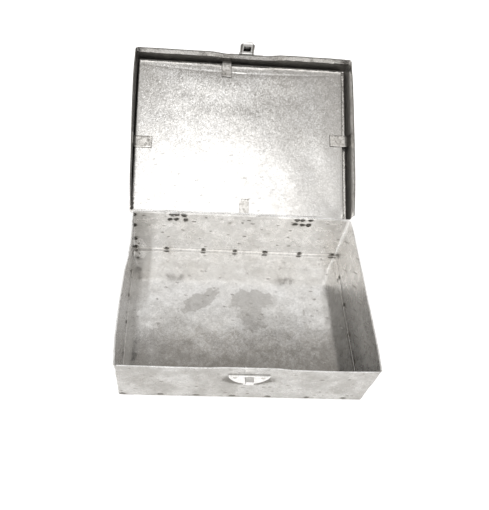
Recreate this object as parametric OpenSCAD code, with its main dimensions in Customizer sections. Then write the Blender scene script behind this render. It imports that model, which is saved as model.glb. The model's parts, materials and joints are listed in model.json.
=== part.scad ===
// Sheet-steel tackle box: a spot-welded tray with a hinged lid, a loose panel
// held inside the lid by four bent tabs, and a hasp whose pocket drops over a staple.
// Origin: centre of the underside. +Z is up, +X to the right, -Y the latch side.
// Lid parts are drawn shut and then swung open about the hinge axis.

/* [Body] */
// Width of the body over its rim
body_w = 256; // [220:1:300]
// Depth of the body over its rim
body_d = 193; // [160:1:230]
// Height of the body to its rim
body_h = 68; // [62:1:90]
// Thickness of the body's sheet
body_t = 0.8; // [0.6:0.1:1]
// Height of the hem folded outward at the rim
rim_hem_h = 5; // [4:0.5:6]
// Radius of the body's upright corners
body_corner_r = 2; // [1.5:0.5:4]
// Height of the floor pan's upturned flange
pan_flange_h = 5; // [4:0.5:8]
// Width of the lapped seam on the back wall
seam_w = 12; // [8:1:20]

/* [Lid] */
// Angle the lid stands open, 0 is shut
lid_open = 152; // [0:1:152]
// Depth of the lid from its top to the edge of its lip
lid_depth = 26; // [24:1:32]
// How far the lip reaches down past the rim
lid_overlap = 12; // [10:0.5:13]
// Gap between the rim and the lid's side walls
lid_gap = 1.8; // [1.6:0.1:2.4]
// Thickness of the lid's sheet
lid_t = 0.6; // [0.5:0.1:0.8]
// Height of the hem folded inward at the lip's edge
lip_hem_h = 8; // [5:0.5:9]
// Radius of the lid's edges and corners
lid_corner_r = 3; // [2:0.5:4]

/* [Panel in the lid] */
// Width of the panel
panel_w = 252.4; // [200:0.1:252.4]
// Length of the panel from front to back
panel_d = 192.2; // [150:0.1:192.2]
// Distance from the lip's edge in to the panel's face
panel_inset = 17; // [15:0.5:18]
// Thickness of the panel's sheet
panel_t = 0.4; // [0.4:0.1:0.6]
// How far the panel lies towards the left side
panel_shift = 2.2; // [0:0.1:2.2]
// Width of the front and rear holding tabs
tab_w = 11; // [8:0.5:16]
// Width of the left and right holding tabs
side_tab_w = 14; // [8:0.5:16]
// How far each tab reaches in from the lip over the panel
tab_reach = 21; // [12:0.5:22]

/* [Hinges] */
// Distance of each hinge's middle from the middle of the box
hinge_x = 73.5; // [50:0.5:90]
// Width of each hinge
hinge_w = 30; // [24:1:36]
// Depth of the hinge axis below the rim
hinge_drop = 2; // [1:0.5:3]
// Outer radius of the knuckles
knuckle_r = 2; // [1.8:0.1:2.2]
// Radius of the hinge pin
hinge_pin_r = 0.9; // [0.8:0.05:1]

/* [Latch] */
// Sideways place of the latch
latch_x = 1.8; // [-20:0.1:20]
// Width of the half-moon plates
plate_w = 41; // [34:1:48]
// Angle the hasp hangs out from the lip's line
hasp_out = 22; // [22:1:60]
// Width of the hasp
hasp_w = 17.5; // [16:0.5:20]
// Length of the hasp from its pin to its tip
hasp_len = 15; // [14.5:0.5:20]
// Width of the staple
staple_w = 8; // [6:0.5:8.5]
// Height of the staple
staple_h = 6; // [5.5:0.1:6]
// How far the staple stands out of its plate
staple_out = 6.5; // [5:0.1:6.5]

/* [Hidden] */
$fn = 64;

// Small distances
over = 1;            // how far a cutter runs past the face it cuts
fit_gap = 0.05;      // between pieces that lie snugly in one another
pin_gap = 0.05;      // around a pin in its knuckles
slack = 0.3;         // between pieces that swing past one another

// Body: the walls stand inside their own hem, and the pan inside the walls
wall_x = body_w / 2 - body_t;
wall_y = body_d / 2 - body_t;
wall_foot = 1;
fold_z = body_h - body_t;
hem_relief = 3;
pan_w = 2 * (wall_x - body_t - fit_gap);
pan_d = 2 * (wall_y - body_t - fit_gap);
pan_bend_r = 1.15;

// Lid, shut
lip_z = body_h - lid_overlap;
lid_top = lip_z + lid_depth;
lid_in_x = body_w / 2 + lid_gap;
lid_in_y = body_d / 2 + lid_gap;
lid_out_x = lid_in_x + lid_t;
lid_out_y = lid_in_y + lid_t;

// Hinge axis
axis_y = body_d / 2 + 0.4 + knuckle_r;
axis_z = body_h - hinge_drop;
leaf_t = 0.85;
body_leaf_h = 18;
lid_leaf_h = 12;
knuckle_n = 5;
knuckle_pitch = hinge_w / knuckle_n;

// Panel and its tabs, shut
panel_z = lip_z + panel_inset;
panel_bend_r = 1.5;
panel_front = -(lid_in_y - 3.5);
panel_top_gap = 1.2;  // the panel's flange stops this far below the lid's sheet
tab_t = 0.5;
tab_edge = 1.5;
front_tab_x = -20.5;
rear_tab_x = 3.7;
left_tab_y = 12.5;
right_tab_y = -1;

// Latch, shut: plates, staple, pin axis and the slot that drops over the staple
rivet_dx = 13.9;
rivet_r = 1.2;
rivet_hole_r = rivet_r + fit_gap;
rivet_head_r = 2.2;
rivet_head_h = 1.1;
catch_t = 1.2;
catch_top = lip_z - 3;
catch_h = 18;
plate_blunt = 3;      // height of the half-moon plates' square ends
catch_face = -(wall_y + catch_t);
catch_rivet_z = catch_top - 4.3;
bead_r = 1;
staple_t = 0.9;
staple_top = catch_top - 0.7;
foot_w = 9;
foot_drop = 2.5;
hasp_plate_t = 0.8;
hasp_plate_h = 17;
hasp_plate_low = 1;   // the plate's straight edge is this far above the pin's axis
hasp_rivet_z = lip_z + 6;
hasp_barrel_r = 1.4;
hasp_pin_r = 0.65;
hasp_axis_y = -(lid_out_y + hasp_barrel_r);
hasp_axis_z = lip_z;
hasp_t = 0.8;
hasp_knuckle_w = 8.1;
slot_w = staple_w + 1;
slot_top = hasp_axis_z - staple_top - 0.6;
slot_end = slot_top + staple_h + 1.2;
tip_curl_r = 2;
boss_t = 0.6;        // wall of the pocket that swallows the staple
boss_r = 1.5;
boss_room = 0.4;     // free space in front of the staple
boss_out = catch_t + wall_y + staple_out + boss_room + hasp_axis_y;
peg_hole_r = 0.8;

// ---------------------------------------------------------------- helpers

// Flat rectangle with rounded corners
module rounded_rect(w, d, r) {
    square([w - 2 * r, d], center = true);
    square([w, d - 2 * r], center = true);
    for (sx = [-1, 1], sy = [-1, 1])
        translate([sx * (w / 2 - r), sy * (d / 2 - r)])
            circle(r);
}

// Block standing on z = 0 with its foot edges and upright edges rounded by r
module round_foot_block(w, d, h, r) {
    translate([0, 0, r])
        linear_extrude(h - r)
            rounded_rect(w, d, r);
    translate([0, 0, r / 2])
        cube([w - 2 * r, d - 2 * r, r], center = true);
    for (sy = [-1, 1])
        translate([0, sy * (d / 2 - r), r])
            rotate([0, 90, 0])
                cylinder(r = r, h = w - 2 * r, center = true);
    for (sx = [-1, 1])
        translate([sx * (w / 2 - r), 0, r])
            rotate([90, 0, 0])
                cylinder(r = r, h = d - 2 * r, center = true);
    for (sx = [-1, 1], sy = [-1, 1])
        translate([sx * (w / 2 - r), sy * (d / 2 - r), r])
            sphere(r);
}

// Open tray of sheet t, bent up round its edge
module tray(w, d, h, r, t) {
    difference() {
        round_foot_block(w, d, h, r);
        translate([0, 0, t])
            round_foot_block(w - 2 * t, d - 2 * t, h + over, r - t);
    }
}

// Profile drawn in (y, z), pulled along X and centred on x = 0
module along_x(length) {
    translate([-length / 2, 0, 0])
        rotate([90, 0, 90])
            linear_extrude(length)
                children();
}

// Dome of base radius r and height h, rising along +Z from z = 0
module dome(r, h) {
    ball = (r * r + h * h) / (2 * h);
    intersection() {
        translate([0, 0, h - ball])
            sphere(ball);
        translate([0, 0, h / 2])
            cube([3 * r, 3 * r, h], center = true);
    }
}

// Half-moon outline: straight edge on z = 0, blunt ends, and a round edge below them
module half_moon(w, h) {
    rise = h - plate_blunt;
    ball = (w * w / 4 + rise * rise) / (2 * rise);
    intersection() {
        translate([0, ball - h])
            circle(ball);
        translate([0, -h / 2])
            square([w, h], center = true);
    }
}

// Outline drawn in (x, z), given a thickness t towards +Y from y = 0
module stand_up(t) {
    translate([0, t, 0])
        rotate([90, 0, 0])
            linear_extrude(t)
                children();
}

// Swings lid parts from shut to open
module swing_lid() {
    translate([0, axis_y, axis_z])
        rotate([-lid_open, 0, 0])
            translate([0, -axis_y, -axis_z])
                children();
}

// Swings the hasp out from the line of the lip
module swing_hasp() {
    translate([0, hasp_axis_y, hasp_axis_z])
        rotate([-hasp_out, 0, 0])
            children();
}

// Rivet through a stack of the given thickness, its head facing -Y at y = 0
module rivet(stack) {
    rotate([90, 0, 0])
        dome(rivet_head_r, rivet_head_h);
    translate([0, stack / 2, 0])
        rotate([90, 0, 0])
            cylinder(r = rivet_r, h = stack + 2 * fit_gap, center = true);
    translate([0, stack + 0.3, 0])
        rotate([90, 0, 0])
            cylinder(r = rivet_head_r * 0.9, h = 0.6, center = true);
}

module rivet_hole(y) {
    translate([0, y, 0])
        rotate([90, 0, 0])
            cylinder(r = rivet_hole_r, h = 8, center = true);
}

// ---------------------------------------------------------------- body

// One folded hem along a wall, length long, lying on the wall's outer face
module rim_hem(length) {
    along_x(length) {
        translate([0, body_h - rim_hem_h])
            square([body_t, rim_hem_h - body_t]);
        translate([0, fold_z])
            circle(body_t);
    }
}

module wall_band() {
    color("lightgray")
        difference() {
            union() {
                difference() {
                    translate([0, 0, wall_foot])
                        linear_extrude(fold_z - wall_foot)
                            rounded_rect(2 * wall_x, 2 * wall_y, body_corner_r);
                    linear_extrude(body_h)
                        rounded_rect(2 * (wall_x - body_t), 2 * (wall_y - body_t), body_corner_r - body_t);
                }
                for (side = [0, 180])
                    rotate([0, 0, side]) {
                        translate([0, wall_y, 0])
                            rim_hem(2 * (wall_x - hem_relief));
                        rotate([0, 0, -90])
                            translate([0, wall_x, 0])
                                rim_hem(2 * (wall_y - hem_relief));
                    }
                // lapped end of the band, welded to the back wall at the left corner
                translate([-wall_x + body_corner_r, wall_y - body_t / 2, wall_foot])
                    cube([seam_w, 1.5 * body_t, body_h - rim_hem_h - wall_foot - fit_gap]);
            }
            for (side = [-1, 1])
                translate([latch_x + side * rivet_dx, 0, catch_rivet_z])
                    rivet_hole(-wall_y);
        }
}

module floor_pan() {
    color("silver")
        tray(pan_w, pan_d, pan_flange_h, pan_bend_r, body_t);
}

// ---------------------------------------------------------------- hinges

// Knuckle rings of one leaf: first = 0 takes the outer ones, 1 those between
module knuckles(first) {
    for (i = [first : 2 : knuckle_n - 1])
        translate([(i - (knuckle_n - 1) / 2) * knuckle_pitch, axis_y, axis_z])
            along_x(knuckle_pitch - slack)
                difference() {
                    circle(knuckle_r);
                    circle(hinge_pin_r + pin_gap);
                }
}

// Runs from the back wall's face, out past the hem, and into the knuckles
module body_leaf_web() {
    polygon([
        [axis_y - knuckle_r, axis_z],
        [axis_y - knuckle_r, body_h - rim_hem_h + 0.1],
        [wall_y, body_h - rim_hem_h - 0.9],
        [wall_y, body_h - rim_hem_h - 4],
        [wall_y + leaf_t, body_h - rim_hem_h - 4],
        [wall_y + leaf_t, body_h - rim_hem_h - 1.25],
        [axis_y - 1.1, body_h - rim_hem_h - 0.2],
        [axis_y - 1.1, axis_z - 1]
    ]);
}

module hinge_body_leaf(side) {
    color("gainsboro")
        translate([side * hinge_x, 0, 0]) {
            knuckles(0);
            for (i = [0 : 2 : knuckle_n - 1])
                translate([(i - (knuckle_n - 1) / 2) * knuckle_pitch, 0, 0])
                    along_x(knuckle_pitch - slack)
                        body_leaf_web();
            translate([-hinge_w / 2 + slack / 2, wall_y, axis_z - body_leaf_h])
                cube([hinge_w - slack, leaf_t, body_leaf_h - knuckle_r - rim_hem_h + 0.5]);
        }
}

module left_hinge_body_leaf() { hinge_body_leaf(-1); }
module right_hinge_body_leaf() { hinge_body_leaf(1); }

module hinge_lid_leaf(side) {
    color("gainsboro")
        swing_lid()
            translate([side * hinge_x, 0, 0]) {
                knuckles(1);
                for (i = [1 : 2 : knuckle_n - 1])
                    translate([(i - (knuckle_n - 1) / 2) * knuckle_pitch, 0, 0])
                        along_x(knuckle_pitch - slack)
                            translate([lid_out_y, axis_z + 1.3])
                                square([leaf_t, 3]);
                translate([-hinge_w / 2 + slack / 2, lid_out_y, axis_z + knuckle_r + slack])
                    cube([hinge_w - slack, leaf_t, lid_leaf_h - knuckle_r - slack]);
            }
}

module left_hinge_lid_leaf() { hinge_lid_leaf(-1); }
module right_hinge_lid_leaf() { hinge_lid_leaf(1); }

module hinge_pin(side) {
    pin_len = hinge_w + 0.4;
    color("darkgray")
        translate([side * hinge_x, axis_y, axis_z])
            rotate([0, 90, 0]) {
                cylinder(r = hinge_pin_r, h = pin_len, center = true);
                for (end = [-1, 1])
                    translate([0, 0, end * (pin_len / 2 + 0.3)])
                        cylinder(r = 1.4, h = 0.6, center = true);
            }
}

module left_hinge_pin() { hinge_pin(-1); }
module right_hinge_pin() { hinge_pin(1); }

// ---------------------------------------------------------------- lid

// Fold along the lip's edge, on the inside; its own x runs along the lip
module lip_hem(length) {
    along_x(length)
        translate([-lid_t, lip_z])
            square([lid_t, lip_hem_h]);
}

module lid_shell() {
    color("lightgray")
        swing_lid()
            difference() {
                union() {
                    translate([0, 0, lid_top])
                        mirror([0, 0, 1])
                            tray(2 * lid_out_x, 2 * lid_out_y, lid_depth, lid_corner_r, lid_t);
                    rotate([0, 0, 180])
                        translate([0, lid_in_y, 0])
                            lip_hem(2 * (lid_in_x - hem_relief));
                    for (side = [-90, 90])
                        rotate([0, 0, side])
                            translate([0, lid_in_x, 0])
                                lip_hem(2 * (lid_in_y - hem_relief - 1));
                }
                // the back lip stops at the hinge axis, and higher at each hinge
                translate([-lid_in_x, lid_in_y - lid_corner_r, lip_z - over])
                    cube([2 * lid_in_x, 2 * lid_corner_r, axis_z + slack - lip_z + over]);
                for (side = [-1, 1])
                    translate([side * hinge_x - hinge_w / 2 - 1, lid_in_y - lid_corner_r, axis_z - over])
                        cube([hinge_w + 2, 2 * lid_corner_r, knuckle_r + 2 * slack + over]);
                for (side = [-1, 1])
                    translate([latch_x + side * rivet_dx, 0, hasp_rivet_z])
                        rivet_hole(-lid_out_y);
            }
}

module lid_panel() {
    color("whitesmoke")
        swing_lid()
            translate([-panel_shift, panel_front + panel_d / 2, panel_z])
                tray(panel_w, panel_d, lid_top - lid_t - panel_top_gap - panel_z, panel_bend_r, panel_t);
}

// Strip bent square: one leg up the lip, the other over the panel's face.
// Drawn in (y, z) with the lip at y = 0 and the panel towards +y.
module tab_profile(leg) {
    translate([0, -leg - tab_t])
        square([tab_t, leg]);
    translate([tab_t, -tab_t])
        square([tab_reach - tab_t, tab_t]);
    translate([tab_t, -tab_t])
        circle(tab_t);
}

module bent_tab(length, leg) {
    along_x(length)
        translate([0, panel_z - fit_gap])
            tab_profile(leg);
}

module front_tab() {
    color("silver")
        swing_lid()
            translate([front_tab_x, -(lid_in_y - lid_t), 0])
                bent_tab(tab_w, panel_inset - tab_edge - tab_t);
}

module rear_tab() {
    color("silver")
        swing_lid()
            translate([rear_tab_x, lid_in_y, 0])
                rotate([0, 0, 180])
                    bent_tab(tab_w, panel_z - axis_z - 3);
}

module left_tab() {
    color("silver")
        swing_lid()
            translate([-(lid_in_x - lid_t), left_tab_y, 0])
                rotate([0, 0, -90])
                    bent_tab(side_tab_w, panel_inset - tab_edge - tab_t);
}

module right_tab() {
    color("silver")
        swing_lid()
            translate([lid_in_x - lid_t, right_tab_y, 0])
                rotate([0, 0, 90])
                    bent_tab(side_tab_w, panel_inset - tab_edge - tab_t);
}

// ---------------------------------------------------------------- latch

module staple_profile() {
    difference() {
        square([staple_out + catch_t / 2, staple_h]);
        translate([-over, staple_t])
            square([staple_out + catch_t / 2 - staple_t + over, staple_h - 2 * staple_t]);
    }
}

module catch_plate() {
    color("whitesmoke")
        translate([latch_x, 0, 0]) {
            difference() {
                union() {
                    translate([0, catch_face, catch_top])
                        stand_up(catch_t)
                            half_moon(plate_w, catch_h);
                    translate([0, catch_face, catch_top - bead_r])
                        rotate([0, 90, 0])
                            cylinder(r = bead_r, h = plate_w - 6, center = true);
                    translate([-foot_w / 2, catch_face + 0.2, catch_top - catch_h - foot_drop])
                        cube([foot_w, catch_t - 0.2, foot_drop + 3]);
                }
                for (side = [-1, 1])
                    translate([side * rivet_dx, 0, catch_rivet_z])
                        rivet_hole(-wall_y);
                translate([0, catch_face + catch_t + 5, catch_top])
                    cube([plate_w, 10, 3 * catch_h], center = true);
            }
            translate([0, catch_face + catch_t / 2, staple_top - staple_h])
                mirror([0, 1, 0])
                    along_x(staple_w)
                        staple_profile();
        }
}

module catch_rivet(side) {
    color("silver")
        translate([latch_x + side * rivet_dx, catch_face, catch_rivet_z])
            rivet(catch_t + body_t);
}

module left_catch_rivet() { catch_rivet(-1); }
module right_catch_rivet() { catch_rivet(1); }

module hasp_knuckle(length) {
    along_x(length)
        difference() {
            circle(hasp_barrel_r);
            circle(hasp_pin_r + pin_gap);
        }
}

module hasp_plate() {
    side_w = (hasp_w - hasp_knuckle_w) / 2 - 0.2;
    color("whitesmoke")
        swing_lid()
            translate([latch_x, 0, 0])
                difference() {
                    union() {
                        translate([0, -lid_out_y - hasp_plate_t, hasp_axis_z + hasp_plate_low])
                            stand_up(hasp_plate_t)
                                mirror([0, 1, 0])
                                    half_moon(plate_w, hasp_plate_h);
                        for (side = [-1, 1])
                            translate([side * (hasp_w - side_w) / 2, 0, 0]) {
                                translate([0, hasp_axis_y, hasp_axis_z])
                                    hasp_knuckle(side_w);
                                translate([-side_w / 2, -lid_out_y - hasp_plate_t, hasp_axis_z])
                                    cube([side_w, hasp_plate_t, 2]);
                            }
                    }
                    // room for the hasp's own knuckle, and for the pin
                    translate([0, hasp_axis_y, hasp_axis_z])
                        rotate([0, 90, 0]) {
                            cylinder(r = hasp_barrel_r + slack, h = hasp_knuckle_w + 0.4, center = true);
                            cylinder(r = hasp_pin_r + pin_gap, h = plate_w, center = true);
                        }
                    for (side = [-1, 1])
                        translate([side * rivet_dx, 0, hasp_rivet_z])
                            rivet_hole(-lid_out_y);
                }
}

module hasp_rivet(side) {
    color("silver")
        swing_lid()
            translate([latch_x + side * rivet_dx, -lid_out_y - hasp_plate_t, hasp_rivet_z])
                rivet(hasp_plate_t + 2 * lid_t);
}

module left_hasp_rivet() { hasp_rivet(-1); }
module right_hasp_rivet() { hasp_rivet(1); }

module hasp_pin() {
    color("darkgray")
        swing_lid()
            translate([latch_x, hasp_axis_y, hasp_axis_z])
                rotate([0, 90, 0]) {
                    cylinder(r = hasp_pin_r, h = hasp_w + 0.4, center = true);
                    for (end = [-1, 1])
                        translate([0, 0, end * (hasp_w / 2 + 0.4)])
                            cylinder(r = 1, h = 0.4, center = true);
                }
}

// Hasp seen from the side, hanging straight down, its tip curled outward (-y)
module hasp_profile() {
    flat_end = hasp_len - tip_curl_r;
    translate([-hasp_t / 2, -flat_end])
        square([hasp_t, flat_end - hasp_pin_r - 0.3]);
    intersection() {
        translate([-tip_curl_r, -flat_end])
            difference() {
                circle(tip_curl_r + hasp_t / 2);
                circle(tip_curl_r - hasp_t / 2);
            }
        translate([-tip_curl_r, -flat_end - 2 * tip_curl_r])
            square([2 * tip_curl_r, 2 * tip_curl_r]);
    }
}

// Hasp seen from the front: full width below its barrel, with clipped corners
module hasp_outline() {
    corner = 3;
    half = hasp_w / 2;
    low = -hasp_len - over;
    polygon([
        [-half, -hasp_barrel_r - slack - 0.1],
        [half, -hasp_barrel_r - slack - 0.1],
        [half, -hasp_len + corner],
        [half - corner, -hasp_len + 0.5],
        [half - corner, low],
        [-half + corner, low],
        [-half + corner, -hasp_len + 0.5],
        [-half, -hasp_len + corner]
    ]);
    translate([-hasp_knuckle_w / 2, -2 * hasp_barrel_r])
        square([hasp_knuckle_w, 2 * hasp_barrel_r]);
}

// Pocket raised on the hasp's outer face round the slot, with a peg hole through its sides
module hasp_boss() {
    mid = -(slot_top + slot_end) / 2;
    difference() {
        translate([0, 0, mid])
            rotate([90, 0, 0])
                linear_extrude(boss_out + boss_t)
                    rounded_rect(slot_w + 2 * boss_t, slot_end - slot_top + 2 * boss_t, boss_r);
        translate([-slot_w / 2, -boss_out, -slot_end])
            cube([slot_w, boss_out + over, slot_end - slot_top]);
        translate([0, -hasp_t / 2 - 0.9, mid])
            rotate([0, 90, 0])
                cylinder(r = peg_hole_r, h = hasp_w, center = true);
    }
}

module hasp() {
    color("silver")
        swing_lid()
            translate([latch_x, 0, 0])
                swing_hasp() {
                    hasp_knuckle(hasp_knuckle_w);
                    hasp_boss();
                    difference() {
                        intersection() {
                            along_x(hasp_w + over)
                                hasp_profile();
                            translate([0, -10, 0])
                                stand_up(20)
                                    hasp_outline();
                        }
                        translate([-slot_w / 2, -over, -slot_end])
                            cube([slot_w, 2 * over, slot_end - slot_top]);
                        rotate([0, 90, 0])
                            cylinder(r = hasp_pin_r + pin_gap, h = hasp_w, center = true);
                    }
                }
}

wall_band();
floor_pan();
left_hinge_body_leaf();
right_hinge_body_leaf();
left_hinge_pin();
right_hinge_pin();
catch_plate();
left_catch_rivet();
right_catch_rivet();
lid_shell();
lid_panel();
front_tab();
rear_tab();
left_tab();
right_tab();
left_hinge_lid_leaf();
right_hinge_lid_leaf();
hasp_plate();
left_hasp_rivet();
right_hasp_rivet();
hasp_pin();
hasp();
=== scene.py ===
"""Looks of a sheet-steel tackle box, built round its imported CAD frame."""
import json
import math

import bmesh
import bpy
import numpy as np
from mathutils import Matrix, Vector, noise


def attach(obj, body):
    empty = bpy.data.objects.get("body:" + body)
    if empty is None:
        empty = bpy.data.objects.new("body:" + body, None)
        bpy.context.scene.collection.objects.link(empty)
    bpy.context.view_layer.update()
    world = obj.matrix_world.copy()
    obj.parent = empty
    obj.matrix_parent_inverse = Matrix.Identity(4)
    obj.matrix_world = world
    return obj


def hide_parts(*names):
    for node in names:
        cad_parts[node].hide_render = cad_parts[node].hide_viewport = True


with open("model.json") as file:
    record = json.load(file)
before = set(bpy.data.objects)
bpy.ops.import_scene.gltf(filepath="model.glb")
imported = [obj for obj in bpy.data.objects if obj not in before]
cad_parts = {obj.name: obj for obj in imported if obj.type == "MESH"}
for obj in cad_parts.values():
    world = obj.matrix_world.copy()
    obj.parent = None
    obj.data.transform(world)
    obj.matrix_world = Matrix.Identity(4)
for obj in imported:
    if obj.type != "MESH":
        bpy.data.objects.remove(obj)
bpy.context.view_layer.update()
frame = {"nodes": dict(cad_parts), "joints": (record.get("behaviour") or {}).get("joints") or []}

MM = 0.001

# ------------------------------------------------------------------ the frame, in millimetres

HINGE = next(j for j in frame["joints"] if j["name"] == "lid_hinge")
LID_ANGLE = math.radians(HINGE["range_deg"][1])
AXIS = Vector(HINGE["pos_m"])
# The lid's sheets are built shut, and OPEN carries them to the rest pose
OPEN = Matrix.Translation(AXIS) @ Matrix.Rotation(-LID_ANGLE, 4, "X") @ Matrix.Translation(-AXIS)
SHUT = OPEN.inverted()
AXIS_Z = AXIS.z / MM


def points(node, turn=None):
    """A CAD node's corners in mm, turned by a matrix first if one is given."""
    co = np.array([v.co for v in frame["nodes"][node].data.vertices], float)
    if turn is not None:
        m = np.array(turn)
        co = co @ m[:3, :3].T + m[:3, 3]
    return co / MM


def span(node, turn=None):
    """Lowest and highest corners of a CAD node in mm."""
    co = points(node, turn)
    return co.min(0), co.max(0)


WALL_LO, WALL_HI = span("wall_band")
PAN_HI = span("floor_pan")[1]
LID_LO, LID_HI = span("lid_shell", SHUT)
PANEL_LO, PANEL_HI = span("lid_panel", SHUT)
LEAF_LO, LEAF_HI = span("left_hinge_lid_leaf")
HINGE_W = float(LEAF_HI[0] - LEAF_LO[0])
HINGE_X = [float(sum(span(side + "_hinge_pin")[k][0] for k in (0, 1)) / 2) for side in ("left", "right")]
CATCH_LO, CATCH_HI = span("catch_plate")
LATCH_X = float(CATCH_LO[0] + CATCH_HI[0]) / 2
SIDES = ("front", "rear", "left", "right")

BODY_T = 0.8        # thickness of the walls and the pan
LID_T = 0.6
PANEL_T = 0.4
STRIP_T = 0.5       # thickness of the four tabs
HEM = 5.0           # height of the hem at the walls' rim
LIP_HEM = 8.0       # height of the hem at the lid's lip
HEM_RELIEF = 3.0    # how far the rim's hems stop short of the corners
SEAM_W = 12.0       # width of the lap at the back left corner
FOLD_STEPS = 8      # faces across the round of a hem
WALL_ZONE = 4       # points this close to a wall's middle plane belong to the wall


# ------------------------------------------------------------------ mesh helpers

def smoothstep(x):
    x = np.clip(x, 0, 1)
    return x * x * (3 - 2 * x)


def bump(x, centre, half):
    """1 at centre, falling smoothly to 0 at half away from it."""
    return smoothstep(1 - np.abs(x - centre) / half)


def curve(t, knots):
    """Curve along a few (place, value) knots, its bends eased, level beyond its ends."""
    places, values = zip(*knots)
    return sum(np.interp(t + d, places, values) for d in np.linspace(-0.12, 0.12, 7)) / 7


def near(p, half, reach=12):
    """1 on a wall that stands at half, falling to 0 at reach inside it."""
    return smoothstep((p - half + reach + 2) / reach)


def wobble(co, size, seed):
    """Smooth noise in -1..1 for each point, features about size mm."""
    shift = Vector((seed * 7.3, seed * 3.1, seed * 5.7))
    return np.array([noise.noise(Vector(p) / size + shift) for p in co])


def stations(lo, hi, step, spots=(), fine=0.9, reach=4.0):
    """Places between lo and hi, step apart, and closer together round each spot."""
    out = list(np.linspace(lo, hi, max(2, int(round((hi - lo) / step)) + 1)))
    for s in spots:
        out += list(np.arange(s - reach, s + reach + fine / 2, fine))
    out = np.array(sorted(x for x in out if lo <= x <= hi))
    keep = [out[0]]
    for x in out[1:-1]:
        if x - keep[-1] > 0.55 * fine and hi - x > 0.55 * fine:
            keep.append(x)
    return np.array(keep + [hi])


def ring(hx, hy, r, xs, ys, arc=6):
    """A rounded rectangle through the given places on its sides, anticlockwise from front left."""
    turns = np.arange(1, arc) * math.pi / 2 / arc
    cx, cy = hx - r, hy - r

    def corner(sx, sy, start):
        a = start + turns
        return np.stack([sx * cx + r * np.cos(a), sy * cy + r * np.sin(a)], 1)

    def side(x, y):
        x, y = np.broadcast_arrays(x, y)
        return np.stack([x, y], 1)

    return np.concatenate([
        side(xs, -hy), corner(1, -1, -math.pi / 2), side(hx, ys), corner(1, 1, 0),
        side(xs[::-1], hy), corner(-1, 1, math.pi / 2), side(-hx, ys[::-1]), corner(-1, -1, math.pi)])


def rings(hx, hy, r, profile, xs, ys):
    """One ring for each (outset, z) of the profile, measured from the reference rectangle."""
    out = []
    for d, z in profile:
        flat = ring(hx + d, hy + d, max(r + d, 0), xs, ys)
        out.append(np.column_stack([flat, np.full(len(flat), z)]))
    return np.array(out)


def arc_profile(cd, cz, r, a0, a1, n):
    """Points (outset, z) on an arc about (cd, cz), from a0 to a1 degrees."""
    a = np.radians(np.linspace(a0, a1, n))
    return [(cd + r * math.cos(t), cz + r * math.sin(t)) for t in a]


def new_object(name, verts, faces, warp=None, weld=0.001):
    """An object in metres from points in mm; faces that collapse when points merge are dropped."""
    co = np.array(verts, float)
    if warp is not None:
        co = warp(co)
    mesh = bpy.data.meshes.new(name)
    mesh.from_pydata((co * MM).tolist(), [], faces)
    bm = bmesh.new()
    bm.from_mesh(mesh)
    bmesh.ops.remove_doubles(bm, verts=bm.verts, dist=weld * MM)
    loose = [v for v in bm.verts if not v.link_faces]
    bmesh.ops.delete(bm, geom=loose, context="VERTS")
    bmesh.ops.recalc_face_normals(bm, faces=bm.faces)
    bm.to_mesh(mesh)
    bm.free()
    obj = bpy.data.objects.new(name, mesh)
    bpy.context.scene.collection.objects.link(obj)
    return obj


def bake(obj):
    """Applies an object's modifiers."""
    bpy.context.view_layer.update()
    done = bpy.data.meshes.new_from_object(obj.evaluated_get(bpy.context.evaluated_depsgraph_get()))
    obj.modifiers.clear()
    obj.data = done
    return obj


def shade(obj, angle=35):
    """Smooth shading, but for edges sharper than the angle."""
    obj.data.shade_smooth()
    obj.data.set_sharp_from_angle(angle=math.radians(angle))
    return obj


def thicken(obj, t, side=0):
    """Gives a single skin the thickness of its sheet."""
    m = obj.modifiers.new("sheet", "SOLIDIFY")
    m.thickness = t * MM
    m.offset = side
    m.use_even_offset = True
    m.use_quality_normals = True
    return bake(obj)


def quads(rows, cols, keep=None, closed=True):
    """Faces of a grid of rows by cols points, closed round the columns."""
    out = []
    for j in range(rows - 1):
        for i in range(cols if closed else cols - 1):
            k = (i + 1) % cols
            if keep is None or keep[j][i]:
                out.append((j * cols + i, j * cols + k, (j + 1) * cols + k, (j + 1) * cols + i))
    return out


def face_middles(grid):
    """Middle of each face between rings, as an array of rings by stations."""
    side = (grid + np.roll(grid, -1, axis=1)) / 2
    return (side[:-1] + side[1:]) / 2


def sheet(name, grid, keep, xs=None, ys=None, warp=None):
    """Skin over rings of points, with a flat middle filling the last ring if xs, ys are given."""
    count = grid.shape[1]
    verts = grid.reshape(-1, 3)
    faces = quads(len(grid), count, keep)
    if xs is not None:
        z = grid[-1][0][2]
        base = len(verts)
        gx, gy = np.meshgrid(xs, ys)
        middle = np.column_stack([gx.ravel(), gy.ravel(), np.full(gx.size, z)])
        verts = np.concatenate([verts, middle])
        faces += [tuple(base + v for v in f) for f in quads(len(ys), len(xs), closed=False)]
    return new_object(name, verts, faces, warp)


def paint(obj, name, values):
    """Stores one number per vertex for the materials to read."""
    a = obj.data.attributes.new(name, "FLOAT", "POINT")
    a.data.foreach_set("value", np.asarray(values, np.float32))


def local(obj):
    """An object's vertices in mm."""
    co = np.zeros(len(obj.data.vertices) * 3)
    obj.data.vertices.foreach_get("co", co)
    return co.reshape(-1, 3) / MM


# ------------------------------------------------------------------ weld marks

def spread(count, lo, hi, seed):
    """count places from lo to hi, a little uneven."""
    rng = np.random.default_rng(seed)
    step = (hi - lo) / (count - 1)
    return np.linspace(lo, hi, count) + rng.uniform(-0.09, 0.09, count) * step


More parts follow.
